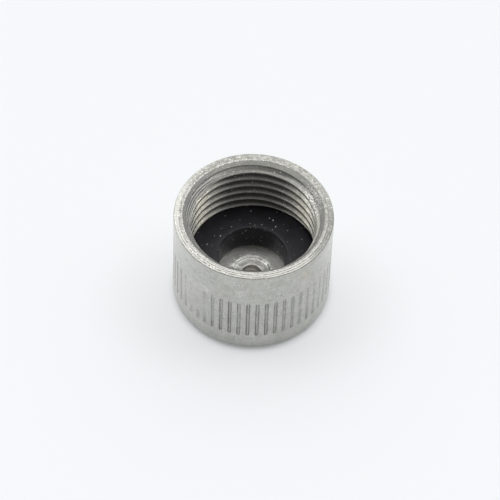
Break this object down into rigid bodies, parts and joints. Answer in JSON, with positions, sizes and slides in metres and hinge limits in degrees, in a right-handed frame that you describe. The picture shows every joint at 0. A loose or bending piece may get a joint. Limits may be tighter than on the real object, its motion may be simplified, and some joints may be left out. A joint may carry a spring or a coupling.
{
  "type": "valve cap",
  "caption": "Large-bore tyre valve cap: round die-cast metal shell with long grip flutes, internal thread and a thick rubber sealing washer.",
  "frame": {"origin": "centre of the closed end's outer face, on the surface that the cap stands on", "axes": "+Z along the cap's axis, from the closed end out through the open mouth; +X and +Y are equivalent"},
  "size_m": [0.0146, 0.0146, 0.0106],
  "materials": {
    "cast_metal": null,
    "washer_rubber": "smooth black moulded rubber with a soft sheen and a few specks of dust"
  },
  "bodies": {
    "root": {"cap_shell": "cast_metal", "sealing_washer": "washer_rubber"}
  },
  "joints": []
}
